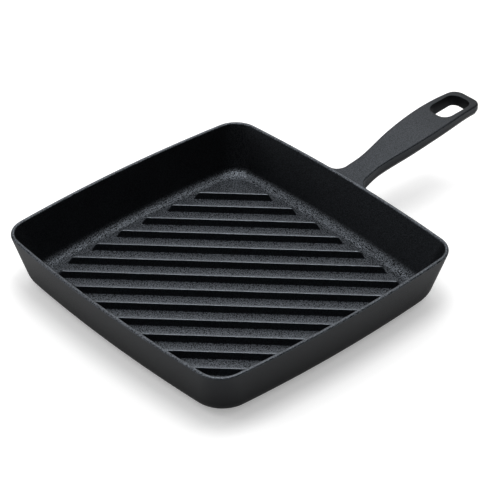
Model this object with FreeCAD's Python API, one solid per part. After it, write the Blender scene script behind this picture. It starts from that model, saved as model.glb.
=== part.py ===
import FreeCAD, Part
import math
import os
from FreeCAD import Vector

# Square cast-iron grill pan, in millimetres
# The origin is the centre of the flat base on the table, and the handle points along +X

# Bowl
rim_length = 256.8             # outside of the rim, along the handle
rim_width = 264.8              # outside of the rim, across the handle
rim_height = 46.3              # rim above the table
rim_bulge = 6.9                # how far each side bows out between its corners
rim_corner_radius = 22.5       # seen from above
rim_thickness = 3.4            # wall at the rim
rim_edge_bevel = 0.8           # bevel of the rim's two edges
wall_lean = 13.4               # how far the wall leans out between the base and the rim
wall_foot_thickness = 4.8      # wall beside the floor
floor_thickness = 6.8
floor_fillet_radius = 9.0      # hollow between the floor and the wall
base_edge_radius = 15.0        # rounding between the base and the wall

# Ribs, cast across the floor from wall to wall
rib_angle = 45.0               # degrees between the ribs and the handle
rib_count = 13
rib_height = 5.2
rib_crest_width = 2.6
rib_foot_width = 6.0           # before the foot curve
rib_crest_radius = 0.8         # rounding of the crest's two edges
rib_foot_radius = 1.4          # hollow between a rib and the floor
rib_gutter = 3.7               # flat floor between the foot of a rib's end and the floor fillet
rib_end_run = 1.5              # how far a rib's end slopes out below its crest
rib_corner_gap = 17.0          # between the outermost crest and the end of the gutter's corner curve

# Handle, measured from the middle of the rim's side out to the tip
handle_length = 138.0
handle_rise = 19.8             # top of the tip above the rim
handle_root_width = 43.0       # where the root curves meet the wall
handle_root_radius = 10.0      # plan curve between the wall and the neck
handle_neck_width = 21.8       # narrowest
handle_grip_width = 34.2       # widest
handle_tip_width = 31.2
handle_tip_radius = 10.0       # plan rounding of the tip's two corners
handle_root_depth = 15.0       # thickness at the wall
handle_neck_depth = 10.0
handle_tip_depth = 7.2
handle_edge_bevel = 1.0        # bevel of the top's edges
handle_bevel_height = 3.4      # slanted lower half of the sides
handle_bevel_width = 1.6
handle_embed = 1.0             # root inside the wall before it is trimmed

# Hanging hole near the tip, wider at the top
hole_length = 33.0
hole_width = 22.0
hole_corner_radius = 8.4
hole_tip_gap = 7.0             # metal between the hole's top edge and the tip
hole_draft = 2.6               # how much further in the hole's lower edge lies

overrun = 2.0                  # every cut runs past its piece by this much
same_level = 0.001             # levels and faces closer than this are one

# Places of the handle's narrowest and widest sections, and one between them, as shares of its length
neck_place_share = 0.18
waist_place_share = 0.43
grip_place_share = 0.68
waist_width_share = 0.72       # of the way from the neck's width to the grip's
root_curve_shares = (0.15, 0.40, 0.65, 0.84)     # stations on the root curve's quarter circle
embed_spread_share = 2.0       # widening of the root inside the wall

# Worked out from the sizes above
half_length = rim_length / 2
half_width = rim_width / 2
wall_slope = wall_lean / rim_height
floor_inset = wall_lean - wall_slope * floor_thickness + wall_foot_thickness
mouth_corner_radius = rim_corner_radius - rim_thickness
inner_slope = (floor_inset - rim_thickness) / (rim_height - floor_thickness)
fillet_run = floor_fillet_radius * math.tan((math.pi / 2 - math.atan(inner_slope)) / 2)
neck_place = neck_place_share * handle_length
tip_level = rim_height + handle_rise


def arc(start, middle, end):
    return Part.Arc(start, middle, end).toShape()


def bowed_form(low, low_inset, high, high_inset, corner_radius):
    """Solid between two levels: four bowed sides that lean between two insets from the rim's outline."""
    upright = Vector(0, 0, 1)
    form = None
    for half, span, turn in ((half_length, half_width, 0), (half_width, half_length, 90)):
        bow_radius = (span**2 + rim_bulge**2) / (2 * rim_bulge)
        back = -half - overrun
        corners = [Vector(back, 0, low), Vector(half - low_inset, 0, low)]
        corners += [Vector(half - high_inset, 0, high), Vector(back, 0, high)]
        face = Part.Face(Part.makePolygon(corners + corners[:1]))
        axis = Vector(half - bow_radius, 0, 0)
        reach = math.degrees(math.asin((span + overrun) / (back - axis.x)))
        face.rotate(axis, upright, -reach)
        for side_turn in (turn, turn + 180):
            side = face.revolve(axis, upright, 2 * reach)
            side.rotate(Vector(0, 0, 0), upright, side_turn)
            form = form.common(side) if form else side
    corner_edges = [edge for edge in form.Edges if edge.BoundBox.ZLength > same_level]
    return form.makeFillet(corner_radius, corner_edges)


def cone(lower, upper):
    return Part.makeLoft([lower, upper], True, True)


def edges_at(shape, level):
    """Edges of a shape that lie wholly at one level."""
    found = []
    for edge in shape.Edges:
        box = edge.BoundBox
        if max(abs(box.ZMin - level), abs(box.ZMax - level)) < same_level:
            found.append(edge)
    return found


def bowl_block():
    """Outside of the bowl, without its hollow."""
    block = bowed_form(0, wall_lean, rim_height, 0, rim_corner_radius)
    return block.makeFillet(base_edge_radius, edges_at(block, 0))


def bowl_hollow():
    """Space inside the bowl, rounded where the wall meets the floor."""
    mouth_inset = rim_thickness - inner_slope * overrun
    mouth = rim_height + overrun
    hollow = bowed_form(floor_thickness, floor_inset, mouth, mouth_inset, mouth_corner_radius)
    return hollow.makeFillet(floor_fillet_radius, edges_at(hollow, floor_thickness))


def make_pan_body(block):
    body = block.cut(bowl_hollow())
    return body.makeChamfer(rim_edge_bevel, edges_at(body, rim_height))


def rib_section(across, place):
    """Face of a rib: a hollow foot, a slanting side and a rounded crest, mirrored about its middle."""
    slant = math.atan2((rib_foot_width - rib_crest_width) / 2, rib_height)
    run_share = math.tan((math.pi / 2 - slant) / 2)
    foot_centre = (rib_foot_width / 2 + rib_foot_radius * run_share, rib_foot_radius)
    crest_centre = (rib_crest_width / 2 - rib_crest_radius * run_share, rib_height - rib_crest_radius)
    foot_angles = (-math.pi / 2, (slant - 3 * math.pi / 2) / 2, slant - math.pi)
    crest_angles = (slant, (slant + math.pi / 2) / 2, math.pi / 2)
    right = []
    for centre, radius, angles in (
        (foot_centre, rib_foot_radius, foot_angles),
        (crest_centre, rib_crest_radius, crest_angles),
    ):
        for angle in angles:
            right.append((centre[0] + radius * math.cos(angle), centre[1] + radius * math.sin(angle)))
    left = [(-u, w) for u, w in reversed(right)]
    points = [across * (place + u) + Vector(0, 0, floor_thickness + w) for u, w in right + left]
    edges = []
    for first in range(0, len(points), 3):
        edges.append(arc(*points[first:first + 3]))
        edges.append(Part.makeLine(points[first + 2], points[(first + 3) % len(points)]))
    return Part.Face(Part.Wire(edges))


def rib_ends(field, along, across, place):
    """Where a line along a rib leaves the field of the ribs' feet, as two lengths along the rib."""
    reach = along * (rim_length + rim_width)
    middle = across * place + Vector(0, 0, floor_thickness + rib_height / 2)
    line = Part.makeLine(middle - reach, middle + reach).common(field)
    ends = [along.dot(vertex.Point) for vertex in line.Vertexes]
    return min(ends), max(ends)


def make_rib(field, along, across, place):
    """One rib between two flat ends that run along the walls and slope down to the floor."""
    half_foot = rib_foot_width / 2
    reach = rim_length + rim_width
    near_ends = rib_ends(field, along, across, place - half_foot)
    far_ends = rib_ends(field, along, across, place + half_foot)
    section = rib_section(across, place)
    section.translate(along * -reach)
    rib = section.extrude(along * 2 * reach)
    for near, far, sign in zip(near_ends, far_ends, (-1, 1)):
        turn = (far - near) / rib_foot_width
        fall = sign * rib_end_run / rib_height * math.hypot(1, turn)
        width_way = (across + along * turn) * rib_foot_width
        height_way = (Vector(0, 0, 1) - along * fall) * 2 * rib_height
        middle = across * place + along * ((near + far) / 2) + Vector(0, 0, floor_thickness)
        corners = [middle - width_way - height_way, middle + width_way - height_way]
        corners += [middle + width_way + height_way, middle - width_way + height_way]
        end_face = Part.Face(Part.makePolygon(corners + corners[:1]))
        rib = rib.cut(end_face.extrude(along * sign * 2 * reach))
    return rib


def make_ribs():
    """Ribs at one pitch, spread evenly between the two corners that they cut off."""
    foot_inset = floor_inset + fillet_run + rib_gutter
    crest_level = floor_thickness + rib_height
    field = bowed_form(floor_thickness, foot_inset, crest_level, foot_inset, mouth_corner_radius)
    angle = math.radians(rib_angle)
    along = Vector(math.cos(angle), -math.sin(angle), 0)
    across = Vector(math.sin(angle), math.cos(angle), 0)
    corner_reach = max(across.dot(vertex.Point) for vertex in field.Vertexes)
    last_place = corner_reach - rib_corner_gap
    pitch = 2 * last_place / (rib_count - 1)
    places = [last_place - step * pitch for step in range(rib_count)]
    return [make_rib(field, along, across, place) for place in places]


def handle_stations():
    """Places along the handle, from inside the wall to where the tip's corners begin, with half widths."""
    root_half = handle_root_width / 2
    waist_width = handle_neck_width + waist_width_share * (handle_grip_width - handle_neck_width)
    stations = [(-handle_embed, root_half + embed_spread_share * handle_embed)]
    for share in root_curve_shares:
        angle = share * math.pi / 2
        place = handle_root_radius * (1 - math.cos(angle))
        stations.append((place, root_half - handle_root_radius * math.sin(angle)))
    stations.append((neck_place, handle_neck_width / 2))
    stations.append((waist_place_share * handle_length, waist_width / 2))
    stations.append((grip_place_share * handle_length, handle_grip_width / 2))
    stations.append((handle_length - handle_tip_radius, handle_tip_width / 2))
    return stations


def side_points(half, level, depth):
    """Side of a handle section from the top down: a bevelled edge, a straight side and a slanted foot."""
    return [
        (half - handle_edge_bevel, level),
        (half, level - handle_edge_bevel),
        (half, level - depth + handle_bevel_height),
        (half - handle_bevel_width, level - depth),
    ]


def handle_section(place, half):
    """Section across the handle: the top follows a quarter sine and the root leans with the wall."""
    near_root = max(0, 1 - place / neck_place) ** 2
    to_tip = max(0, place - neck_place) / (handle_length - neck_place)
    depth = handle_neck_depth + to_tip * (handle_tip_depth - handle_neck_depth)
    depth += near_root * (handle_root_depth - handle_neck_depth)
    level = rim_height + handle_rise * math.sin(math.pi / 2 * place / handle_length)
    points = side_points(half, level, depth)
    points += [(-y, z) for y, z in reversed(points)]
    corners = []
    for y, z in points:
        corners.append(Vector(half_length + place - wall_slope * near_root * (level - z), y, z))
    return Part.makePolygon(corners + corners[:1])


def handle_tip():
    """End of the handle past its last section: two turned corners and a straight piece between them."""
    place = half_length + handle_length - handle_tip_radius
    middle = handle_tip_width / 2 - handle_tip_radius
    inner_top = Vector(place, middle, tip_level)
    corners = [inner_top]
    for y, z in side_points(handle_tip_width / 2, tip_level, handle_tip_depth):
        corners.append(Vector(place, y, z))
    corners += [Vector(place, middle, tip_level - handle_tip_depth), inner_top]
    face = Part.Face(Part.makePolygon(corners))
    corner = face.revolve(inner_top, Vector(0, 0, -1), 90)
    face.rotate(inner_top, Vector(0, 0, -1), 90)
    straight = face.extrude(Vector(0, -2 * middle, 0))
    return [corner, straight, corner.mirror(Vector(0, 0, 0), Vector(0, 1, 0))]


def rounded_slot(length, width, radius, centre, level):
    """Rectangle with rounded corners as a wire."""
    half_x = length / 2
    half_y = width / 2
    cut = radius * (1 - math.sqrt(1 / 2))
    edges = []
    last = None
    first = None
    for sign_x, sign_y in ((1, 1), (-1, 1), (-1, -1), (1, -1)):
        side = Vector(centre + sign_x * half_x, sign_y * (half_y - radius), level)
        middle = Vector(centre + sign_x * (half_x - cut), sign_y * (half_y - cut), level)
        end = Vector(centre + sign_x * (half_x - radius), sign_y * half_y, level)
        start, stop = (side, end) if sign_x == sign_y else (end, side)
        if last is not None:
            edges.append(Part.makeLine(last, start))
        else:
            first = start
        edges.append(arc(start, middle, stop))
        last = stop
    edges.append(Part.makeLine(last, first))
    return Part.Wire(edges)


def hanging_hole():
    """Tapered slot through the handle near the tip."""
    centre = half_length + handle_length - hole_tip_gap - hole_length / 2
    draft_slope = hole_draft / handle_tip_depth
    outlines = []
    for height in (-handle_neck_depth - overrun, overrun):
        grow = 2 * draft_slope * height
        radius = hole_corner_radius + draft_slope * height
        length = hole_length + grow
        width = hole_width + grow
        outlines.append(rounded_slot(length, width, radius, centre, tip_level + height))
    return cone(*outlines)


def make_handle(block):
    grip = Part.makeLoft([handle_section(place, half) for place, half in handle_stations()], True)
    handle = grip.fuse(handle_tip()).removeSplitter().cut(hanging_hole())
    wall = block.makeChamfer(rim_edge_bevel, edges_at(block, rim_height))
    return handle.cut([wall], same_level)


def save(name, shape):
    shape.exportStep("parts/" + name + ".step")
    print(name, "volume", round(shape.Volume), "valid", shape.isValid(), "solids", len(shape.Solids))


os.makedirs("parts", exist_ok=True)
bowl = bowl_block()
save("pan_body", make_pan_body(bowl))
save("handle", make_handle(bowl))
for number, rib in enumerate(make_ribs(), start=1):
    save(f"rib_{number:02d}", rib)
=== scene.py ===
# %% [markdown]
# # A square cast-iron grill pan
# The pan is one iron casting: a square bowl with leaning, slightly bowed walls, a floor with
# diagonal ribs, and an arched handle with a hanging hole. The CAD model gives the sizes and places.
# This lesson dresses it: it remodels the casting with the soft edges that sand casting leaves,
# gives it the dark baked-on finish, and sets it on a white studio floor.

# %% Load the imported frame
import math

import bmesh
import bpy
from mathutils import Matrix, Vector
from mathutils.geometry import delaunay_2d_cdt


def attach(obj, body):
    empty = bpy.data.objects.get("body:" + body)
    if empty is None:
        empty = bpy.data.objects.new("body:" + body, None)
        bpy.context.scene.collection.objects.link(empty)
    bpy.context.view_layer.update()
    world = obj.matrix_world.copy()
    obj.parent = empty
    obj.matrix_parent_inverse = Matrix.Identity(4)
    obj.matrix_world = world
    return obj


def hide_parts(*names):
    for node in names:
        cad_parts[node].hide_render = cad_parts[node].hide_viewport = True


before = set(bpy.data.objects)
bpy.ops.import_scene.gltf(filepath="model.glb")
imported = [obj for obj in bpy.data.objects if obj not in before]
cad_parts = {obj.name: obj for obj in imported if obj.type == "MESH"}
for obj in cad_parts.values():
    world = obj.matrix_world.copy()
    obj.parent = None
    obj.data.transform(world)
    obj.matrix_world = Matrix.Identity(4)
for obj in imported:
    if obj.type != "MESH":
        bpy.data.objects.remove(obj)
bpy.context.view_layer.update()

print("CAD nodes:", sorted(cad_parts))

# %% [markdown]
# ## Sizes
# The drawing of the pan is in millimetres and Blender works in metres, so each size is written once
# in millimetres and scaled here. Most are the sizes of the CAD model. The outside of the wall and the
# handle are drawn a millimetre or two fuller than the CAD's plain forms, because the photograph shows
# them so, and every edge is softer.

# %% Sizes of the casting
MM = 0.001

HALF_LENGTH = 128.4 * MM       # from the middle to the rim, along the handle
HALF_WIDTH = 132.4 * MM        # from the middle to the rim, across the handle
RIM_HEIGHT = 46.3 * MM
RIM_BULGE = 6.9 * MM           # how far each side bows out between its corners
RIM_CORNER = 22.5 * MM
WALL_LEAN = 13.4 * MM          # of the CAD's wall, between the base and the rim
WALL_FOOT = 4.8 * MM           # thickness of the wall beside the floor
FLOOR_LEVEL = 6.8 * MM

WALL_SLOPE = WALL_LEAN / RIM_HEIGHT
FLOOR_INSET = WALL_LEAN - WALL_SLOPE * FLOOR_LEVEL + WALL_FOOT
print("floor starts", round(FLOOR_INSET / MM, 2), "mm inside the rim")

# %% [markdown]
# ## The bowed outline
# Seen from above, the pan is not a true square: each side is a shallow arc, and a corner arc joins
# each pair. A curve object could be drawn by hand for it, but the arcs have to meet smoothly at every
# inset, and a function works that out exactly. So the base, the rim and the floor are rings of the
# same family. Every ring has the same number of points, which lets rings be joined by plain four-sided
# faces.

# %% Draw one ring of the outline
SIDE_STEPS = 14
CORNER_STEPS = 18


def bowed_ring(inset, corner_radius, level):
    """Points of the outline, anticlockwise, moved in by an inset and with its own corner radius."""
    side_radius = (HALF_WIDTH**2 + RIM_BULGE**2) / (2 * RIM_BULGE)
    end_radius = (HALF_LENGTH**2 + RIM_BULGE**2) / (2 * RIM_BULGE)
    side_centre = Vector((HALF_LENGTH - side_radius, 0))
    end_centre = Vector((0, HALF_WIDTH - end_radius))
    side_radius -= inset
    end_radius -= inset
    side_reach = side_radius - corner_radius
    end_reach = end_radius - corner_radius
    across = end_centre - side_centre
    along = (side_reach**2 - end_reach**2 + across.length_squared) / (2 * across.length)
    out = math.sqrt(side_reach**2 - along**2)
    across.normalize()
    corner_centre = side_centre + across * along + Vector((-across.y, across.x)) * out
    from_side = corner_centre - side_centre
    from_end = corner_centre - end_centre
    low = math.atan2(from_side.y, from_side.x)
    high = math.atan2(from_end.y, from_end.x)
    quarter = []
    for centre, radius, start, end, steps in (
        (side_centre, side_radius, 0, low, SIDE_STEPS),
        (corner_centre, corner_radius, low, high, CORNER_STEPS),
        (end_centre, end_radius, high, math.pi / 2, SIDE_STEPS),
    ):
        for step in range(steps):
            angle = start + (end - start) * step / steps
            quarter.append(centre + Vector((math.cos(angle), math.sin(angle))) * radius)
    quarter.append(end_centre + Vector((0, end_radius)))
    half = quarter + [Vector((-p.x, p.y)) for p in reversed(quarter[:-1])]
    ring = half + [Vector((p.x, -p.y)) for p in reversed(half[1:-1])]
    return [Vector((p.x, p.y, level)) for p in ring]


print("points in a ring:", len(bowed_ring(0, RIM_CORNER, RIM_HEIGHT)))

# %% [markdown]
# ## Rounded paths
# A casting has no sharp edge, because sand can't hold one. The section of the wall, and later the
# section of the handle's edge, is first a chain of straight lines, and then every corner of the
# chain gets its own radius. A Bevel modifier would round the edges too, but with one width for all.
# A rational curve with the corner as its middle pole is a true arc, and it carries any further
# number along with the point, here the ring's corner radius.

# %% Round the corners of a chain
def rounded_path(chain, steps):
    """Chain of (point, radius) as a list of points, with an arc of so many steps at each corner."""
    points = [Vector(chain[0][0])]
    for before, (corner, radius), after in zip(chain, chain[1:], chain[2:]):
        corner = Vector(corner)
        back = Vector(before[0]) - corner
        on = Vector(after[0]) - corner
        half_angle = back.xy.angle(on.xy) / 2
        run = radius / math.tan(half_angle)
        first = corner + back * (run / back.xy.length)
        last = corner + on * (run / on.xy.length)
        weight = math.sin(half_angle)
        for step in range(steps + 1):
            t = step / steps
            shares = ((1 - t) ** 2, 2 * t * (1 - t) * weight, t * t)
            total = sum(shares)
            points.append((first * shares[0] + corner * shares[1] + last * shares[2]) / total)
    points.append(Vector(chain[-1][0]))
    return points


trial = rounded_path([((1, 0, 0), 0), ((0, 0, 0), 0.5), ((0, 1, 0), 0)], 2)
print("a square corner, rounded:", [tuple(round(v, 2) for v in point.xy) for point in trial])

# %% Section of the wall
RIM_THICKNESS = 3.4 * MM
RIM_ROUND = 1.4 * MM
OUTER_LEAN = 11.4 * MM         # of the outside as drawn here, a little fuller
BASE_ROUND = 16.8 * MM
BASE_CORNER = 25.0 * MM
BASE_FLAT = 3 * BASE_ROUND
FLOOR_ROUND = 9.0 * MM         # hollow between the floor and the wall
INNER_CORNER = RIM_CORNER - RIM_THICKNESS
INNER_SLOPE = (FLOOR_INSET - RIM_THICKNESS) / (RIM_HEIGHT - FLOOR_LEVEL)
FLOOR_RUN = FLOOR_ROUND * math.tan((math.pi / 2 - math.atan(INNER_SLOPE)) / 2)
FLOOR_FLAT = 2 * FLOOR_RUN
WALL_STEPS = 10

wall_chain = [
    ((OUTER_LEAN + BASE_FLAT, 0, BASE_CORNER), 0),
    ((OUTER_LEAN, 0, BASE_CORNER), BASE_ROUND),
    ((0, RIM_HEIGHT, RIM_CORNER), RIM_ROUND),
    ((RIM_THICKNESS, RIM_HEIGHT, INNER_CORNER), RIM_ROUND),
    ((FLOOR_INSET, FLOOR_LEVEL, INNER_CORNER), FLOOR_ROUND),
    ((FLOOR_INSET + FLOOR_FLAT, FLOOR_LEVEL, INNER_CORNER), 0),
]
wall_section = rounded_path(wall_chain, WALL_STEPS)[1:-1]
print("rings in the wall:", len(wall_section))

# %% [markdown]
# ## The bowl
# The bowl is a stack of rings that follows the wall's section: out along the base, round its edge,
# up the leaning wall, over the rim, down the inside and round the large hollow to the floor. Lofting
# rings in code suits it better than a modifier stack, because the corner radius stays nearly the same
# all the way down, and an offset would pinch the corners of the floor. Each finished mesh also gets an
# attribute for dryness, 0 on faces that look up, where oil stays, and 1 on upright ones; the sheen it
# takes away also paints shade on the steep faces. Here a second one marks the top of the rim with wear
# and a painted highlight line. The iron reads both.

# %% Helpers for meshes
OIL_AND_SHADE_TILT = 0.7               # height of the normal below which a face loses sheen: less oil, and painted shade


def add_band(mesh, lower, upper):
    """Four-sided faces between two rings of the same length."""
    for index in range(len(lower)):
        after = (index + 1) % len(lower)
        mesh.faces.new((lower[index], lower[after], upper[after], upper[index]))


def mesh_object(mesh, name, least_dry_and_shade=0):
    """Finish a bmesh as a smooth object at the origin, marked with how dry each point is, which also
    paints shade on steep faces.
    """
    bmesh.ops.recalc_face_normals(mesh, faces=mesh.faces)
    data = bpy.data.meshes.new(name)
    mesh.to_mesh(data)
    mesh.free()
    data.shade_smooth()
    dry_and_shade = data.attributes.new("dry_and_shade", "FLOAT", "POINT")
    for vert, mark in zip(data.vertices, dry_and_shade.data):
        mark.value = min(1, max(least_dry_and_shade, (OIL_AND_SHADE_TILT - vert.normal.z) / OIL_AND_SHADE_TILT))
    piece = bpy.data.objects.new(name, data)
    bpy.context.collection.objects.link(piece)
    return piece


# faces steeper than this lose sheen, as less oil and as painted shade
print("oil stays on faces up to", round(math.degrees(math.acos(OIL_AND_SHADE_TILT))), "degrees steep")

# %% Loft the bowl
WEAR_HIGHLIGHT_DEPTH = 0.6 * MM          # how far wear and its painted highlight go down from the rim, and from a rib's crest
# wear on the rim top, which also paints a highlight line along the rim
RIM_WEAR_HIGHLIGHT = 0.26
FLAT_SHARES = (0.985, 0.8, 0.6, 0.4, 0.2)   # rings across the base and the floor

bowl_mesh = bmesh.new()
rings = []
for inset, level, corner in wall_section:
    rings.append([bowl_mesh.verts.new(p) for p in bowed_ring(inset, corner, level)])
for lower, upper in zip(rings, rings[1:]):
    add_band(bowl_mesh, lower, upper)
for ring in (rings[0], rings[-1]):
    last = ring
    for share in FLAT_SHARES:
        inner = [bowl_mesh.verts.new((v.co.x * share, v.co.y * share, v.co.z)) for v in ring]
        add_band(bowl_mesh, last, inner)
        last = inner
    centre = bowl_mesh.verts.new((0, 0, ring[0].co.z))
    for index in range(len(last)):
        bowl_mesh.faces.new((last[index], last[(index + 1) % len(last)], centre))
bowl = mesh_object(bowl_mesh, "bowl")
rim_worn_highlight = bowl.data.attributes.new("worn_and_highlight", "FLOAT", "POINT")
for vert, mark in zip(bowl.data.vertices, rim_worn_highlight.data):
    mark.value = RIM_WEAR_HIGHLIGHT * max(0, 1 - (RIM_HEIGHT - vert.co.z) / WEAR_HIGHLIGHT_DEPTH)
print("bowl faces:", len(bowl.data.polygons))

# %% [markdown]
# ## Nodes and colours
# Both the ribs and the finishes are node trees, so one small function adds a node, changes its
# settings and fills its inputs. An input takes a plain value, a socket, or another node, which then
# gives its first output. Colours are written as sRGB hex values and turned to the linear values that
# the renderer works with.

# %% Add a node, read a colour
def add(tree, kind, inputs=None, **settings):
    """Add a node, change its settings, and give its inputs a value or a link."""
    node = tree.nodes.new(kind)
    for name, value in settings.items():
        setattr(node, name, value)
    for key, value in (inputs or {}).items():
        if isinstance(value, bpy.types.Node):
            value = value.outputs[0]
        if isinstance(value, bpy.types.NodeSocket):
            tree.links.new(value, node.inputs[key])
        else:
            node.inputs[key].default_value = value
    return node


def linear(hex_colour):
    """sRGB hex as linear red, green, blue and alpha."""
    channels = [int(hex_colour[start:start + 2], 16) / 255 for start in (1, 3, 5)]
    return [c / 12.92 if c <= 0.04045 else ((c + 0.055) / 1.055) ** 2.4 for c in channels] + [1]


print("middle grey #808080 is", round(linear("#808080")[0], 3), "in linear light")

# %% [markdown]
# ## Seasoned cast iron
# The pan was cast in sand and then baked with oil, which leaves a thin hard black film over black iron
# oxide. To the eye that is a deep black with a soft, grainy sheen. It is not a bare metal, so the
# material is dielectric, but it reflects more than a plastic. A painted texture could show this too,
# but noise on the object's own coordinates has no seams and keeps its real scale. Oil runs off steep
# faces, so an attribute takes away their sheen and their grain, and the lost sheen also paints shade on
# those faces. Less sheen low on the walls paints them darker towards the bottom, as painted shade. Where
# the iron is worn, tools have rubbed it smooth, and its raised sheen paints a bright highlight line on
# the rim and the crests' edges. The grain is drawn coarser than real sand, so that it still shows when
# the whole pan is in the picture.

# %% Grain and patches of the casting
GRAIN_SIZE = 0.95 * MM
GRAIN_DEPTH = 0.3 * MM
GRAIN_DETAIL = 2.0
GRAIN_ROUGHNESS = 0.6
GRAIN_NOISE = (0.4, 0.6)       # the part of the noise that is stretched over the sheen
GRAIN_SHEEN = 2.75
PATCH_SIZE = 30.0 * MM
PATCH_DETAIL = 3.0
PATCH_NOISE = (0.3, 0.7)       # the part of the noise that is stretched over the gloss
PATCH_GLOSS = (0.38, 0.44)

iron = bpy.data.materials.new("seasoned_sand_cast_iron")
iron.use_nodes = True
tree = iron.node_tree
place = add(tree, "ShaderNodeTexCoord").outputs["Object"]
grain = add(tree, "ShaderNodeTexNoise",
            {"Vector": place, "Scale": 1 / GRAIN_SIZE,
             "Detail": GRAIN_DETAIL, "Roughness": GRAIN_ROUGHNESS})
patches = add(tree, "ShaderNodeTexNoise",
              {"Vector": place, "Scale": 1 / PATCH_SIZE, "Detail": PATCH_DETAIL})
gloss = add(tree, "ShaderNodeMapRange",
            {"Value": patches, "From Min": PATCH_NOISE[0], "From Max": PATCH_NOISE[1],
             "To Min": PATCH_GLOSS[0], "To Max": PATCH_GLOSS[1]})
oiled_sheen = add(tree, "ShaderNodeMapRange",
                  {"Value": grain, "From Min": GRAIN_NOISE[0], "From Max": GRAIN_NOISE[1],
                   "To Min": 0.0, "To Max": GRAIN_SHEEN})
print("grain of", round(GRAIN_SIZE / MM, 2), "mm in patches of", round(PATCH_SIZE / MM), "mm")

# %% Oil, painted shade low on the walls, and wear with a painted highlight
GRAIN_LOSS = 1.3               # grain fades faster than the oil does
DRY_GRAIN = 0.4
# sheen of steep faces at the rim: less oil, and painted shade
DRY_SHADE_SHEEN = 0.2
# sheen at the foot of the walls: painted shade, darker towards the bottom
LOW_WALL_SHADE_SHEEN = 0.04
DRY_ROUGHNESS = 0.55
BARE_POWER = 4.0               # only the driest faces get the dry roughness
WORN_ROUGHNESS = 0.28
# sheen of worn places: rubbed iron, and a painted highlight
WORN_HIGHLIGHT_SHEEN = 3.1

dry_and_shade = add(tree, "ShaderNodeAttribute", attribute_name="dry_and_shade").outputs["Fac"]
worn_and_highlight = add(tree, "ShaderNodeAttribute", attribute_name="worn_and_highlight").outputs["Fac"]
even = add(tree, "ShaderNodeMath", {0: dry_and_shade, 1: worn_and_highlight}, operation="MAXIMUM")
roughcast = add(tree, "ShaderNodeMapRange", {"Value": even, "To Min": 1.0, "To Max": DRY_GRAIN})
bump = add(tree, "ShaderNodeBump", {"Height": grain, "Strength": roughcast, "Distance": GRAIN_DEPTH})
fading = add(tree, "ShaderNodeMath", {0: dry_and_shade, 1: GRAIN_LOSS}, operation="MULTIPLY", use_clamp=True)
even_sheen = add(tree, "ShaderNodeMix", {0: fading, 2: oiled_sheen, 3: GRAIN_SHEEN / 2})
height = add(tree, "ShaderNodeSeparateXYZ", {0: place}).outputs["Z"]
# less sheen low on the walls paints them darker towards the bottom
low_wall_shade = add(tree, "ShaderNodeMapRange",
           {"Value": height, "From Max": RIM_HEIGHT, "To Min": LOW_WALL_SHADE_SHEEN, "To Max": DRY_SHADE_SHEEN})
# steep faces take the lower sheen: less oil, and painted shade
dry_shaded_sheen = add(tree, "ShaderNodeMix", {0: dry_and_shade, 2: even_sheen, 3: low_wall_shade})
# worn places get more sheen: wear, and a painted highlight on the rim and the crests' edges
sheen = add(tree, "ShaderNodeMix", {0: worn_and_highlight, 2: dry_shaded_sheen, 3: WORN_HIGHLIGHT_SHEEN})
rubbed = add(tree, "ShaderNodeMix", {0: worn_and_highlight, 2: gloss, 3: WORN_ROUGHNESS})
bare = add(tree, "ShaderNodeMath", {0: dry_and_shade, 1: BARE_POWER}, operation="POWER")
roughness = add(tree, "ShaderNodeMix", {0: bare, 2: rubbed, 3: DRY_ROUGHNESS})
shader = tree.nodes["Principled BSDF"]
shader.inputs["Base Color"].default_value = linear("#050506")
# the cool tint on the reflections is a painted cool light
shader.inputs["Specular Tint"].default_value = linear("#e8f2ff")
for node, name in ((roughness, "Roughness"), (sheen, "Specular IOR Level"), (bump, "Normal")):
    tree.links.new(node.outputs[0], shader.inputs[name])
bowl.data.materials.append(iron)
print("made", iron.name, "with", len(tree.nodes), "nodes")

# %% [markdown]
# ## The ribs
# Thirteen ribs cross the floor diagonally, and every one ends a little short of the wall. Boxes cut
# by a Boolean would do, but with hard edges. The ribs repeat by a rule, so Geometry Nodes make them. A
# low fence stands where the ribs' feet end, and each point of a rib looks along the rib with a ray to
# find how far it may go. The height is then a soft minimum of three things, the crest, the slanting
# side and the slanting end, and a soft maximum with the floor, which rounds every edge the way the
# mould does.

# %% Plan the rib tree
rib_sizes = {
    "Last Place": 113.38 * MM,
    "Rib Angle": math.radians(45),
    "Rib Height": 5.6 * MM,
    "Crest Width": 2.3 * MM,
    "Foot Width": 6.0 * MM,
    "Crest Softness": 1.4 * MM,
    "Foot Softness": 1.2 * MM,
    "End Run": 1.5 * MM,
}

rib_tree = bpy.data.node_groups.new("diagonal_ribs", "GeometryNodeTree")
rib_tree.interface.new_socket("Fence", in_out="INPUT", socket_type="NodeSocketGeometry")
rib_tree.interface.new_socket("Rib Count", in_out="INPUT", socket_type="NodeSocketInt")
for name in rib_sizes:
    rib_tree.interface.new_socket(name, in_out="INPUT", socket_type="NodeSocketFloat")
rib_tree.interface.new_socket("Iron", in_out="INPUT", socket_type="NodeSocketMaterial")
rib_tree.interface.new_socket("Ribs", in_out="OUTPUT", socket_type="NodeSocketGeometry")
given = add(rib_tree, "NodeGroupInput").outputs
print("rib inputs:", [socket.name for socket in given if socket.name])

# %% One flat sheet for each rib
ALONG_POINTS = 61
ACROSS_POINTS = 45
SHEET_SIZE = 2.0               # so that its points run from -1 to 1 both ways

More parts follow.
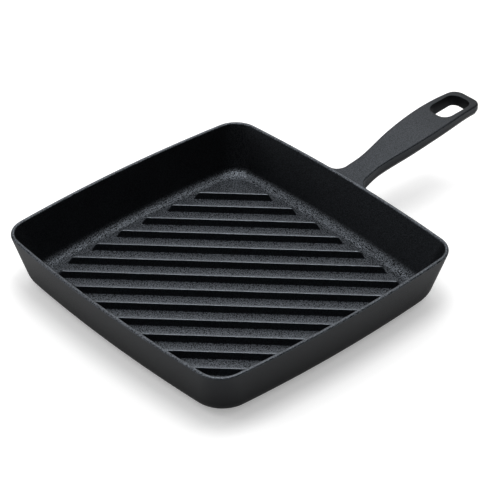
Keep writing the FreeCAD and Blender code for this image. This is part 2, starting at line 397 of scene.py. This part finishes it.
sheet = add(rib_tree, "GeometryNodeMeshGrid",
            {"Size X": SHEET_SIZE, "Size Y": SHEET_SIZE,
             "Vertices X": ALONG_POINTS, "Vertices Y": ACROSS_POINTS})
position = add(rib_tree, "GeometryNodeInputPosition")
sheet = add(rib_tree, "GeometryNodeStoreNamedAttribute",
            {"Geometry": sheet, "Name": "on_sheet", "Value": position}, data_type="FLOAT_VECTOR")
last_back = add(rib_tree, "ShaderNodeMath", {0: given["Last Place"], 1: -1.0}, operation="MULTIPLY")
first_end = add(rib_tree, "ShaderNodeCombineXYZ", {"Y": given["Last Place"]})
second_end = add(rib_tree, "ShaderNodeCombineXYZ", {"Y": last_back})
row = add(rib_tree, "GeometryNodeMeshLine",
          {"Count": given["Rib Count"], "Start Location": first_end, "Offset": second_end},
          mode="END_POINTS")
row_place = add(rib_tree, "ShaderNodeSeparateXYZ", {0: position}).outputs["Y"]
row = add(rib_tree, "GeometryNodeStoreNamedAttribute",
          {"Geometry": row, "Name": "rib_place", "Value": row_place}, data_type="FLOAT")
sheets = add(rib_tree, "GeometryNodeInstanceOnPoints", {"Points": row, "Instance": sheet})
sheets = add(rib_tree, "GeometryNodeRealizeInstances", {"Geometry": sheets})
print("each rib is a sheet of", ALONG_POINTS, "by", ACROSS_POINTS, "points")

# %% Where each point lies across the rib
on_sheet = add(rib_tree, "GeometryNodeInputNamedAttribute",
               {"Name": "on_sheet"}, data_type="FLOAT_VECTOR")
sheet_place = add(rib_tree, "ShaderNodeSeparateXYZ", {0: on_sheet}).outputs
rib_place = add(rib_tree, "GeometryNodeInputNamedAttribute", {"Name": "rib_place"}, data_type="FLOAT")
half_foot = add(rib_tree, "ShaderNodeMath", {0: given["Foot Width"], 1: 0.5}, operation="MULTIPLY")
reach = add(rib_tree, "ShaderNodeMath", {0: half_foot, 1: given["Foot Softness"]}, operation="ADD")
beside = add(rib_tree, "ShaderNodeMath", {0: sheet_place["Y"], 1: reach}, operation="MULTIPLY")
across = add(rib_tree, "ShaderNodeMath", {0: beside, 1: rib_place}, operation="ADD")
cosine = add(rib_tree, "ShaderNodeMath", {0: given["Rib Angle"]}, operation="COSINE")
sine = add(rib_tree, "ShaderNodeMath", {0: given["Rib Angle"]}, operation="SINE")
sine_back = add(rib_tree, "ShaderNodeMath", {0: sine, 1: -1.0}, operation="MULTIPLY")
along_way = add(rib_tree, "ShaderNodeCombineXYZ", {"X": cosine, "Y": sine_back})
across_way = add(rib_tree, "ShaderNodeCombineXYZ", {"X": sine, "Y": cosine})
across_vector = add(rib_tree, "ShaderNodeVectorMath", {0: across_way, "Scale": across}, operation="SCALE")
print("rib tree so far:", len(rib_tree.nodes), "nodes")

# %% How far each point may go along the rib
RAY_LEVEL = FLOOR_LEVEL + 2.0 * MM
RAY_LENGTH = 1.0
END_CROWDING = 2.2             # gathers the points of a sheet towards its two ends

ray_start = add(rib_tree, "ShaderNodeVectorMath",
                {0: across_vector, 1: (0, 0, RAY_LEVEL)}, operation="ADD")
back_way = add(rib_tree, "ShaderNodeVectorMath", {0: along_way, "Scale": -1.0}, operation="SCALE")
hits = []
for direction in (along_way, back_way):
    ray = add(rib_tree, "GeometryNodeRaycast",
              {"Target Geometry": given["Fence"], "Source Position": ray_start,
               "Ray Direction": direction, "Ray Length": RAY_LENGTH})
    hits.append(ray.outputs["Hit Distance"])
end_run = add(rib_tree, "ShaderNodeMath", {0: given["End Run"], 1: cosine}, operation="DIVIDE")
end_slope = add(rib_tree, "ShaderNodeMath", {0: given["Rib Height"], 1: end_run}, operation="DIVIDE")
run_out = add(rib_tree, "ShaderNodeMath", {0: given["Foot Softness"], 1: end_slope}, operation="DIVIDE")
sheet_front = add(rib_tree, "ShaderNodeMath", {0: hits[0], 1: run_out}, operation="ADD")
sheet_back = add(rib_tree, "ShaderNodeMath", {0: hits[1], 1: run_out}, operation="ADD")
sheet_back = add(rib_tree, "ShaderNodeMath", {0: sheet_back, 1: -1.0}, operation="MULTIPLY")
away = add(rib_tree, "ShaderNodeMath", {0: sheet_place["X"]}, operation="ABSOLUTE")
left = add(rib_tree, "ShaderNodeMath", {0: 1.0, 1: away}, operation="SUBTRACT")
crowded = add(rib_tree, "ShaderNodeMath", {0: left, 1: END_CROWDING}, operation="POWER")
kept = add(rib_tree, "ShaderNodeMath", {0: 1.0, 1: crowded}, operation="SUBTRACT")
side = add(rib_tree, "ShaderNodeMath", {0: sheet_place["X"]}, operation="SIGN")
along_share = add(rib_tree, "ShaderNodeMath", {0: kept, 1: side}, operation="MULTIPLY")
along = add(rib_tree, "ShaderNodeMapRange",
            {"Value": along_share, "From Min": -1.0, "From Max": 1.0,
             "To Min": sheet_back, "To Max": sheet_front})
to_front = add(rib_tree, "ShaderNodeMath", {0: hits[0], 1: along}, operation="SUBTRACT")
to_back = add(rib_tree, "ShaderNodeMath", {0: along, 1: hits[1]}, operation="ADD")
to_end = add(rib_tree, "ShaderNodeMath", {0: to_front, 1: to_back}, operation="MINIMUM")
print("rib tree so far:", len(rib_tree.nodes), "nodes")

# %% How high each point stands
RIB_SINK = 0.06 * MM           # lets the soft foot run into the floor
RIB_BOTTOM = FLOOR_LEVEL - 0.6 * MM
ON_BORDER = 0.999              # points further out than this on their sheet close the rib below

crest_cut = add(rib_tree, "ShaderNodeMath",
                {0: given["Foot Width"], 1: given["Crest Width"]}, operation="SUBTRACT")
side_run = add(rib_tree, "ShaderNodeMath", {0: crest_cut, 1: 0.5}, operation="MULTIPLY")
side_slope = add(rib_tree, "ShaderNodeMath", {0: given["Rib Height"], 1: side_run}, operation="DIVIDE")
off_middle = add(rib_tree, "ShaderNodeMath", {0: beside}, operation="ABSOLUTE")
to_foot = add(rib_tree, "ShaderNodeMath", {0: half_foot, 1: off_middle}, operation="SUBTRACT")
side_height = add(rib_tree, "ShaderNodeMath", {0: to_foot, 1: side_slope}, operation="MULTIPLY")
end_height = add(rib_tree, "ShaderNodeMath", {0: to_end, 1: end_slope}, operation="MULTIPLY")
height = add(rib_tree, "ShaderNodeMath",
             {0: given["Rib Height"], 1: side_height, 2: given["Crest Softness"]}, operation="SMOOTH_MIN")
height = add(rib_tree, "ShaderNodeMath",
             {0: height, 1: end_height, 2: given["Crest Softness"]}, operation="SMOOTH_MIN")
height = add(rib_tree, "ShaderNodeMath",
             {0: height, 1: 0.0, 2: given["Foot Softness"]}, operation="SMOOTH_MAX")
level = add(rib_tree, "ShaderNodeMath", {0: height, 1: FLOOR_LEVEL - RIB_SINK}, operation="ADD")
off_both = add(rib_tree, "ShaderNodeMath", {0: sheet_place["Y"]}, operation="ABSOLUTE")
off_both = add(rib_tree, "ShaderNodeMath", {0: off_both, 1: away}, operation="MAXIMUM")
border = add(rib_tree, "ShaderNodeMath", {0: off_both, 1: ON_BORDER}, operation="GREATER_THAN")
top_level = add(rib_tree, "ShaderNodeMix", {0: border, 2: level, 3: RIB_BOTTOM})
print("rib tree so far:", len(rib_tree.nodes), "nodes")

# %% Close each rib with a flat underside
MERGE_DISTANCE = 0.001 * MM

flat = add(rib_tree, "ShaderNodeVectorMath", {0: along_way, "Scale": along}, operation="SCALE")
flat = add(rib_tree, "ShaderNodeVectorMath", {0: flat, 1: across_vector}, operation="ADD")
halves = []
for half_level in (top_level, RIB_BOTTOM):
    lift = add(rib_tree, "ShaderNodeCombineXYZ", {"Z": half_level})
    target = add(rib_tree, "ShaderNodeVectorMath", {0: flat, 1: lift}, operation="ADD")
    halves.append(add(rib_tree, "GeometryNodeSetPosition", {"Geometry": sheets, "Position": target}))
underside = add(rib_tree, "GeometryNodeFlipFaces", {"Mesh": halves[1]})
joined = add(rib_tree, "GeometryNodeJoinGeometry", {"Geometry": halves[0]})
rib_tree.links.new(underside.outputs[0], joined.inputs["Geometry"])
closed = add(rib_tree, "GeometryNodeMergeByDistance", {"Geometry": joined, "Distance": MERGE_DISTANCE})
smooth = add(rib_tree, "GeometryNodeSetShadeSmooth", {"Geometry": closed})
print("rib tree so far:", len(rib_tree.nodes), "nodes")

# %% Mark wear with a painted highlight on the crests, and dryness with painted shade on steep faces, and hand the ribs out
EDGE_TILT = 0.94               # height of the normal on the crest's rounded edges, where the painted highlight sits
FLAT_WEAR_HIGHLIGHT = 0.2                # what is left of the wear and painted highlight on the flat of the crest

crest_level = FLOOR_LEVEL - RIB_SINK + rib_sizes["Rib Height"]
now_at = add(rib_tree, "ShaderNodeSeparateXYZ", {0: position}).outputs["Z"]
# wear on the crests, strongest on their rounded edges, where it paints a highlight line
near_crest = add(rib_tree, "ShaderNodeMapRange",
                 {"Value": now_at, "From Min": crest_level - WEAR_HIGHLIGHT_DEPTH, "From Max": crest_level})
normal = add(rib_tree, "GeometryNodeInputNormal")
facing = add(rib_tree, "ShaderNodeSeparateXYZ", {0: normal}).outputs["Z"]
at_edge = add(rib_tree, "ShaderNodeMapRange",
              {"Value": facing, "From Min": EDGE_TILT, "From Max": 1.0,
               "To Min": 1.0, "To Max": FLAT_WEAR_HIGHLIGHT})
crest_worn_highlight = add(rib_tree, "ShaderNodeMath", {0: near_crest, 1: at_edge}, operation="MULTIPLY")
# steep faces lose sheen: less oil, and painted shade on the ribs' sides
side_dry_and_shade = add(rib_tree, "ShaderNodeMapRange", {"Value": facing, "From Min": OIL_AND_SHADE_TILT, "From Max": 0.0})
for name, value in (("worn_and_highlight", crest_worn_highlight), ("dry_and_shade", side_dry_and_shade)):
    smooth = add(rib_tree, "GeometryNodeStoreNamedAttribute",
                 {"Geometry": smooth, "Name": name, "Value": value}, data_type="FLOAT")
for name in ("on_sheet", "rib_place"):
    smooth = add(rib_tree, "GeometryNodeRemoveAttribute", {"Geometry": smooth, "Name": name})
real = add(rib_tree, "GeometryNodeRealizeInstances", {"Geometry": smooth})
dressed = add(rib_tree, "GeometryNodeSetMaterial", {"Geometry": real, "Material": given["Iron"]})
add(rib_tree, "NodeGroupOutput", {"Ribs": dressed})
print("finished rib tree:", len(rib_tree.nodes), "nodes")

# %% Grow the ribs inside their fence
RIB_COUNT = 13
RIB_GUTTER = 5.0 * MM          # flat floor between a rib's foot and the hollow
FENCE_HEIGHT = 10.0 * MM

fence_inset = FLOOR_INSET + FLOOR_RUN + RIB_GUTTER
fence_mesh = bmesh.new()
fence_low = [fence_mesh.verts.new(p) for p in bowed_ring(fence_inset, INNER_CORNER, FLOOR_LEVEL)]
fence_high = [fence_mesh.verts.new(v.co + Vector((0, 0, FENCE_HEIGHT))) for v in fence_low]
add_band(fence_mesh, fence_low, fence_high)
ribs = mesh_object(fence_mesh, "ribs")
grower = ribs.modifiers.new("ribs", "NODES")
grower.node_group = rib_tree
rib_inputs = dict(rib_sizes, **{"Rib Count": RIB_COUNT, "Iron": iron})
for item in rib_tree.interface.items_tree:
    if item.item_type == "SOCKET" and item.name in rib_inputs:
        grower[item.identifier] = rib_inputs[item.name]
evaluated = bpy.context.evaluated_depsgraph_get()
rib_data = bpy.data.meshes.new_from_object(ribs.evaluated_get(evaluated))
ribs.modifiers.remove(grower)
print("rib faces:", len(rib_data.polygons))

# %% [markdown]
# At each corner of a sheet, the rib's top and underside share two border edges and fold into a flap
# with no thickness. The corner's vertex has only those two edges, so it is easy to find, and dissolving
# it leaves one clean edge in the flap's place.

# %% Dissolve the folded corners
rib_mesh = bmesh.new()
rib_mesh.from_mesh(rib_data)
folded = [vert for vert in rib_mesh.verts if len(vert.link_edges) == 2]
print("folded corners:", len(folded))
bmesh.ops.dissolve_verts(rib_mesh, verts=folded)
rib_mesh.to_mesh(rib_data)
rib_mesh.free()
ribs.data = rib_data
rib_levels = [vert.co.z / MM for vert in rib_data.vertices]
print("ribs reach from", round(min(rib_levels), 2), "to", round(max(rib_levels), 2), "mm")

# %% [markdown]
# ## The handle
# The handle is a plate with an arched top: wide where it grows out of the wall, narrow at the neck,
# widest in the grip, and rounded at the tip, with a slot to hang it by. A subdivided box could be
# pulled into this shape, but its slot and its flat top would be hard to keep exact. So it is drawn as
# seen from above, with an outer and an inner outline. Each point of an outline carries a small section
# of the edge, and the flat top and bottom between the outlines are filled with even triangles.

# %% Sizes of the handle
HANDLE_LENGTH = 138.0 * MM
HANDLE_RISE = 20.1 * MM        # of the arched top above the rim, before the tip droops
TIP_DROOP = 1.5 * MM
DROOP_START = 0.8              # share of the length where the droop starts
NECK_PLACE = 0.18 * HANDLE_LENGTH
ROOT_DEPTH = 15.0 * MM
NECK_DEPTH = 11.0 * MM
TIP_DEPTH = 8.3 * MM


def root_share(along):
    """Share of the root's thickening that is left at a place along the handle."""
    return min(1, max(0, 1 - along / NECK_PLACE)) ** 2


def handle_depth(along):
    """Thickness of the handle at a place along it."""
    to_tip = max(0, along - NECK_PLACE) / (HANDLE_LENGTH - NECK_PLACE)
    return NECK_DEPTH + to_tip * (TIP_DEPTH - NECK_DEPTH) + root_share(along) * (ROOT_DEPTH - NECK_DEPTH)


def handle_point(along, beside, drop):
    """Point of the handle from its place seen from above and its drop below the arched top."""
    share = along / HANDLE_LENGTH
    level = RIM_HEIGHT + HANDLE_RISE * math.sin(math.pi / 2 * share)
    level -= TIP_DROOP * (max(0, share - DROOP_START) / (1 - DROOP_START)) ** 2
    lean = WALL_SLOPE * root_share(along) * drop
    return Vector((HALF_LENGTH + along - lean, beside, level - drop))


print("handle is", round(handle_depth(HANDLE_LENGTH) / MM, 1), "mm thick at the tip")

# %% Curves of the outlines
ROOT_END = (7.49 * MM, 11.81 * MM)   # along and beside, where the root curve ends
WAIST_PLACE = 0.43 * HANDLE_LENGTH
GRIP_PLACE = 0.68 * HANDLE_LENGTH
NECK_HALF = 10.9 * MM          # half widths, seen from above
WAIST_HALF = 15.36 * MM
GRIP_HALF = 17.1 * MM
TIP_HALF = 15.6 * MM
TIP_RADIUS = 10.0 * MM
SIDE_STEP = 2.5 * MM

side_knots = [ROOT_END, (NECK_PLACE, NECK_HALF), (WAIST_PLACE, WAIST_HALF),
              (GRIP_PLACE, GRIP_HALF), (HANDLE_LENGTH - TIP_RADIUS, TIP_HALF)]


def side_curve():
    """Smooth side from the end of the root curve to the tip's corner, through the knots."""
    slopes = []
    for index in range(len(side_knots)):
        low = side_knots[max(index - 1, 0)]
        high = side_knots[min(index + 1, len(side_knots) - 1)]
        slopes.append((high[1] - low[1]) / (high[0] - low[0]))
    points = []
    for (x0, y0), (x1, y1), s0, s1 in zip(side_knots, side_knots[1:], slopes, slopes[1:]):
        span = x1 - x0
        steps = max(2, round(span / SIDE_STEP))
        for step in range(steps):
            t = step / steps
            y = (2 * t**3 - 3 * t**2 + 1) * y0 + (t**3 - 2 * t**2 + t) * span * s0
            y += (3 * t**2 - 2 * t**3) * y1 + (t**3 - t**2) * span * s1
            points.append(Vector((x0 + span * t, y)))
    return points


def arc(centre, radius, start, end, steps):
    """Points of an arc seen from above, between two angles in degrees."""
    points = []
    for step in range(steps + 1):
        angle = math.radians(start + (end - start) * step / steps)
        points.append(centre + Vector((math.cos(angle), math.sin(angle))) * radius)
    return points


print("points on one side:", len(side_curve()))

# %% Outlines of the handle and its hole
EMBED = 2.4 * MM               # how far the root reaches into the wall
ENTRY_ANGLE = 12               # degrees between the root's outline and the wall
ROOT_HALF = 21.5 * MM          # half width where the handle meets the wall
ROOT_RADIUS = 10.0 * MM
ROOT_TURN = 255                # degrees where the root curve ends
ROUND_STEPS = 12
HOLE_LENGTH = 33.0 * MM
HOLE_WIDTH = 22.0 * MM
HOLE_CORNER = 8.4 * MM
HOLE_TIP_GAP = 7.0 * MM
HOLE_STEPS = 10

root_centre = Vector((ROOT_RADIUS, ROOT_HALF))
root = arc(root_centre, ROOT_RADIUS, 180 + ENTRY_ANGLE, ROOT_TURN, ROUND_STEPS)[:-1]
entry = Vector((-EMBED, root[0].y + (root[0].x + EMBED) / math.tan(math.radians(ENTRY_ANGLE))))
tip_centre = Vector((HANDLE_LENGTH - TIP_RADIUS, TIP_HALF - TIP_RADIUS))
tip = arc(tip_centre, TIP_RADIUS, 90, 0, ROUND_STEPS)
left_half = [entry] + root + side_curve() + tip
outer_outline = [Vector((p.x, -p.y)) for p in left_half] + left_half[::-1]

hole_middle = HANDLE_LENGTH - HOLE_TIP_GAP - HOLE_LENGTH / 2
hole_outline = []
for turn, sign_x, sign_y in ((0, 1, 1), (90, -1, 1), (180, -1, -1), (270, 1, -1)):
    corner_x = hole_middle + sign_x * (HOLE_LENGTH / 2 - HOLE_CORNER)
    corner_y = sign_y * (HOLE_WIDTH / 2 - HOLE_CORNER)
    hole_outline += arc(Vector((corner_x, corner_y)), HOLE_CORNER, turn, turn + 90, HOLE_STEPS)
print("outline points:", len(outer_outline), "and", len(hole_outline))

# %% Sections of the two edges
FACE_EDGE = 1.5 * MM           # how far the section reaches over the flat faces
TOP_EDGE = 2.0 * MM            # the same, over the top's outer edge
TOP_ROUND = 1.5 * MM
BEVEL_HEIGHT = 3.4 * MM        # slanted lower part of the sides
BEVEL_WIDTH = 1.6 * MM
BEVEL_ROUND = 1.0 * MM
FOOT_ROUND = 0.8 * MM
HOLE_DRAFT = 2.6 * MM          # how much narrower the hole is at its lower edge, on each side
HOLE_ROUND = 0.8 * MM
HOLE_FOOT_ROUND = 0.6 * MM
SECTION_STEPS = 4


def outer_chain(depth):
    """Section of the outer edge, as steps inwards and drops below the top."""
    return [((TOP_EDGE, 0, 0), 0), ((0, 0, 0), TOP_ROUND), ((0, depth - BEVEL_HEIGHT, 0), BEVEL_ROUND),
            ((BEVEL_WIDTH, depth, 0), FOOT_ROUND), ((FACE_EDGE + BEVEL_WIDTH, depth, 0), 0)]


def hole_chain(depth):
    """Section of the hole's edge, which narrows downwards."""
    draft = HOLE_DRAFT * depth / TIP_DEPTH
    return [((FACE_EDGE, 0, 0), 0), ((0, 0, 0), HOLE_ROUND), ((-draft, depth, 0), HOLE_FOOT_ROUND),
            ((FACE_EDGE, depth, 0), 0)]


for name, chain_of in (("outer edge", outer_chain), ("hole's edge", hole_chain)):
    section = rounded_path(chain_of(TIP_DEPTH), SECTION_STEPS)
    print("section of the", name, "has", len(section), "points")

# %% Carry the sections round both outlines
def inward(outline):
    """Unit normals of a closed outline, to its left as it runs."""
    normals = []
    for index in range(len(outline)):
        way = outline[(index + 1) % len(outline)] - outline[index - 1]
        normals.append(Vector((-way.y, way.x)).normalized())
    return normals


def edge_rings(mesh, outline, normals, chain_of):
    """Rings of vertices around an outline, one for each point of the edge's section."""
    rings = []
    for point, normal in zip(outline, normals):
        section = rounded_path(chain_of(handle_depth(point.x)), SECTION_STEPS)
        for index, (step_in, drop, _) in enumerate(section):
            if index == len(rings):
                rings.append([])
            spot = point + normal * step_in
            rings[index].append(mesh.verts.new(handle_point(spot.x, spot.y, drop)))
    return rings


handle_mesh = bmesh.new()
outer_normals = inward(outer_outline)
outer_normals[-1] = Vector((0, -1 / math.sin(math.radians(ENTRY_ANGLE))))
outer_normals[0] = -outer_normals[-1]
outer_rings = edge_rings(handle_mesh, outer_outline, outer_normals, outer_chain)
hole_rings = edge_rings(handle_mesh, hole_outline, [-n for n in inward(hole_outline)], hole_chain)
for rings in (outer_rings, hole_rings):
    for lower, upper in zip(rings, rings[1:]):
        add_band(handle_mesh, lower, upper)
print("points on both edges:", len(handle_mesh.verts))

# %% Fill the top and the bottom
FILL_STEP = 3.0 * MM
FILL_CLEARANCE = 0.7 * FILL_STEP
FILL_TOLERANCE = 1e-7


def in_loop(point, loop):
    """Whether a point seen from above lies inside a closed loop of points."""
    inside = False
    for a, b in zip(loop, loop[1:] + loop[:1]):
        if (a.y > point.y) != (b.y > point.y):
            if point.x < a.x + (point.y - a.y) / (b.y - a.y) * (b.x - a.x):
                inside = not inside
    return inside


def fill_between(mesh, outer, hole, bottom):
    """Fill the face between two rings with triangles and even points of its own."""
    verts = list(outer) + list(hole)
    plan = [v.co.xy for v in verts]
    outer_loop = plan[:len(outer)]
    hole_loop = plan[len(outer):]
    rows = int(ROOT_HALF / FILL_STEP)
    for column in range(int(HANDLE_LENGTH / FILL_STEP) + 2):
        for row in range(-rows, rows + 1):
            spot = Vector((HALF_LENGTH + column * FILL_STEP, row * FILL_STEP))
            if min((spot - p).length for p in outer_loop + hole_loop) < FILL_CLEARANCE:
                continue
            if in_loop(spot, outer_loop) and not in_loop(spot, hole_loop):
                along = spot.x - HALF_LENGTH
                drop = handle_depth(along) if bottom else 0
                level = handle_point(along, spot.y, drop).z
                verts.append(mesh.verts.new((spot.x, spot.y, level)))
                plan.append(spot)
    first = len(outer)
    edges = [(i, (i + 1) % first) for i in range(first)]
    edges += [(first + i, first + (i + 1) % len(hole)) for i in range(len(hole))]
    points, _, triangles, origins, _, _ = delaunay_2d_cdt(plan, edges, [], 0, FILL_TOLERANCE)
    for triangle in triangles:
        middle = sum((points[i] for i in triangle), Vector((0, 0))) / 3
        if in_loop(middle, outer_loop) and not in_loop(middle, hole_loop):
            mesh.faces.new([verts[origins[i][0]] for i in triangle])


fill_between(handle_mesh, outer_rings[0], hole_rings[0], False)
fill_between(handle_mesh, outer_rings[-1], hole_rings[-1], True)
print("handle faces:", len(handle_mesh.faces))

# %% [markdown]
# The handle holds less oil than the bowl, and least of all near the tip and inside the hole, which
# stay dull and dark. The lost sheen is also painted shade: darker towards the tip, and darkest on the
# hole's steep walls. The same attribute says so.

# %% Finish the handle
# least dullness of the handle and of its tip: less oil, and painted shade
HANDLE_DRY_AND_SHADE = 0.51
TIP_DRY_AND_SHADE = 0.66

handle = mesh_object(handle_mesh, "handle_grip", HANDLE_DRY_AND_SHADE)
# duller towards the tip, and fully dull on the hole's steep walls: painted shade
for vert, mark in zip(handle.data.vertices, handle.data.attributes["dry_and_shade"].data):
    along = vert.co.x - HALF_LENGTH
    to_tip = max(0, 2 * along / HANDLE_LENGTH - 1)
    mark.value = max(mark.value, HANDLE_DRY_AND_SHADE + to_tip * (TIP_DRY_AND_SHADE - HANDLE_DRY_AND_SHADE))
    in_hole = abs(along - hole_middle) < HOLE_LENGTH / 2 and abs(vert.co.y) < HOLE_WIDTH / 2
    if in_hole and vert.normal.z < OIL_AND_SHADE_TILT:
        mark.value = 1
handle.data.materials.append(iron)
print("handle points:", len(handle.data.vertices))

# %% [markdown]
# ## Riding on the frame
# Nothing on the pan moves, so every piece rides on the one body. The pieces could be joined into one
# mesh, as on the real casting, but kept apart each one can be found and changed by its name. Each piece
# says which CAD nodes it stands for.

# %% Hang the pieces on the frame
for piece, nodes in (
    (bowl, ["pan_body"]),
    (handle, ["handle"]),
    (ribs, [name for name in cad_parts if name.startswith("rib_")]),
):
    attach(piece, "root")
    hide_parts(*nodes)
    print(piece.name, "stands for", len(nodes), "node(s)")

# %% [markdown]
# ## The studio floor
# The pan stands on plain white paper, which is matte and shows a soft shadow. More light would turn
# the paper white, and the pan too bright with it. So the light stays at a plain level, and the paper
# is lifted to white only for the camera and in reflections, by a faint glow. The shadow stays.

# %% Floor
FLOOR_HALF = 4.0
FLOOR_DROP = 0.1 * MM          # keeps the paper from touching the base
PAPER_LIFT = 0.27

floor_data = bpy.data.meshes.new("studio_floor")
floor_data.from_pydata([(-FLOOR_HALF, -FLOOR_HALF, 0), (FLOOR_HALF, -FLOOR_HALF, 0),
                        (FLOOR_HALF, FLOOR_HALF, 0), (-FLOOR_HALF, FLOOR_HALF, 0)], [], [(0, 1, 2, 3)])
studio_floor = bpy.data.objects.new("studio_floor", floor_data)
studio_floor.location.z = -FLOOR_DROP
bpy.context.collection.objects.link(studio_floor)
paper = bpy.data.materials.new("white_paper_floor")
paper.use_nodes = True
tree = paper.node_tree
tree.nodes.clear()
rays = add(tree, "ShaderNodeLightPath").outputs
seen_by = rays["Is Camera Ray"]
for ray_kind in ("Is Glossy Ray", "Is Transmission Ray"):
    seen_by = add(tree, "ShaderNodeMath", {0: seen_by, 1: rays[ray_kind]}, operation="MAXIMUM")
lift = add(tree, "ShaderNodeMath", {0: seen_by, 1: PAPER_LIFT}, operation="MULTIPLY")
matte = add(tree, "ShaderNodeBsdfDiffuse", {"Color": linear("#fafafa")})
glow = add(tree, "ShaderNodeEmission", {"Color": linear("#ffffff"), "Strength": lift})
both = add(tree, "ShaderNodeAddShader", {0: matte, 1: glow})
add(tree, "ShaderNodeOutputMaterial", {"Surface": both})
floor_data.materials.append(paper)
print("floor is", 2 * FLOOR_HALF, "m wide")

# %% [markdown]
# ## The lamps
# A dome of soft boxes lights the pan. One large lamp would do for a pale object, but black iron shows
# little more than reflections, so each lamp serves one group of faces: those behind light the floor of
# the pan and the handle's top, those at the sides the hollows and the inner walls, and the one overhead
# draws the thin lines on crests and rim. An even world fills the shadows and is kept out of the
# reflections. Together they light the paper at a level of about 1, so a colour renders about as it is
# written.

# %% Lights
LAMP_DISTANCE = 2.0
LAMP_AIM = Vector((30.0, 0.0, 30.0)) * MM
VIEW_AZIMUTH = math.radians(-41.963)
WORLD_LEVEL = 0.45


def soft_box(name, bearing, elevation, size, power):
    """Square lamp on a dome. Bearing 0 is straight behind the pan for the camera, 90 to its left."""
    turn = VIEW_AZIMUTH + math.radians(bearing)
    rise = math.radians(elevation)
    way = Vector((-math.sin(turn) * math.cos(rise), math.cos(turn) * math.cos(rise), math.sin(rise)))
    lamp = bpy.data.lights.new(name, "AREA")
    lamp.shape = "SQUARE"
    lamp.size = size
    lamp.energy = power
    holder = bpy.data.objects.new(name, lamp)
    holder.location = LAMP_AIM + way * LAMP_DISTANCE
    holder.rotation_euler = (-way).to_track_quat("-Z", "Y").to_euler()
    bpy.context.collection.objects.link(holder)
    print(name, "gives", power, "W")


for name, bearing, elevation, size, power in (
    ("back_high", 0, 66, 1.2, 4.1),
    ("back_middle", 0, 48, 1.2, 4.8),
    ("back_low", 0, 14, 1.2, 3.0),
    ("left_high", 90, 55, 1.2, 5.6),
    ("left_low", 90, 20, 1.2, 2.8),
    ("right_high", -70, 50, 1.2, 3.3),
    ("overhead", 0, 90, 0.8, 12.0),
):
    soft_box(name, bearing, elevation, size, power)
world = bpy.data.worlds.new("studio")
world.use_nodes = True
background = world.node_tree.nodes["Background"]
background.inputs["Color"].default_value = linear("#ffffff")
background.inputs["Strength"].default_value = WORLD_LEVEL
bpy.context.scene.world = world
world.cycles_visibility.glossy = False

# %% [markdown]
# ## Camera
# The camera stands at the photograph's own angle: a long lens, high at the near corner, with the
# handle running away to the upper right. A shorter lens from nearer by would frame the pan as well, but
# the near corner would come out larger than in the photograph.

# %% Camera
VIEW_ELEVATION = math.radians(35.77)
VIEW_DISTANCE = 1766.59 * MM
VIEW_AIM = Vector((47.597, 33.754, 0)) * MM
FOCAL_LENGTH = 162.32          # in millimetres, as the sensor's width is
SENSOR_WIDTH = 36.0
PIXEL = 1 / 490                # of the picture's width
SHIFT = (-0.4 * PIXEL, 0.4 * PIXEL)

lens = bpy.data.cameras.new("camera")
lens.sensor_width = SENSOR_WIDTH
lens.lens = FOCAL_LENGTH
lens.shift_x, lens.shift_y = SHIFT
lens.dof.use_dof = False
camera = bpy.data.objects.new("camera", lens)
back = Vector((math.sin(VIEW_AZIMUTH) * math.cos(VIEW_ELEVATION),
               -math.cos(VIEW_AZIMUTH) * math.cos(VIEW_ELEVATION),
               math.sin(VIEW_ELEVATION)))
camera.location = VIEW_AIM + back * VIEW_DISTANCE
camera.rotation_euler = (-back).to_track_quat("-Z", "Y").to_euler()
bpy.context.collection.objects.link(camera)
bpy.context.scene.camera = camera
bpy.context.scene.view_settings.view_transform = "Standard"
print("camera is", round(camera.location.length, 2), "m from the pan")
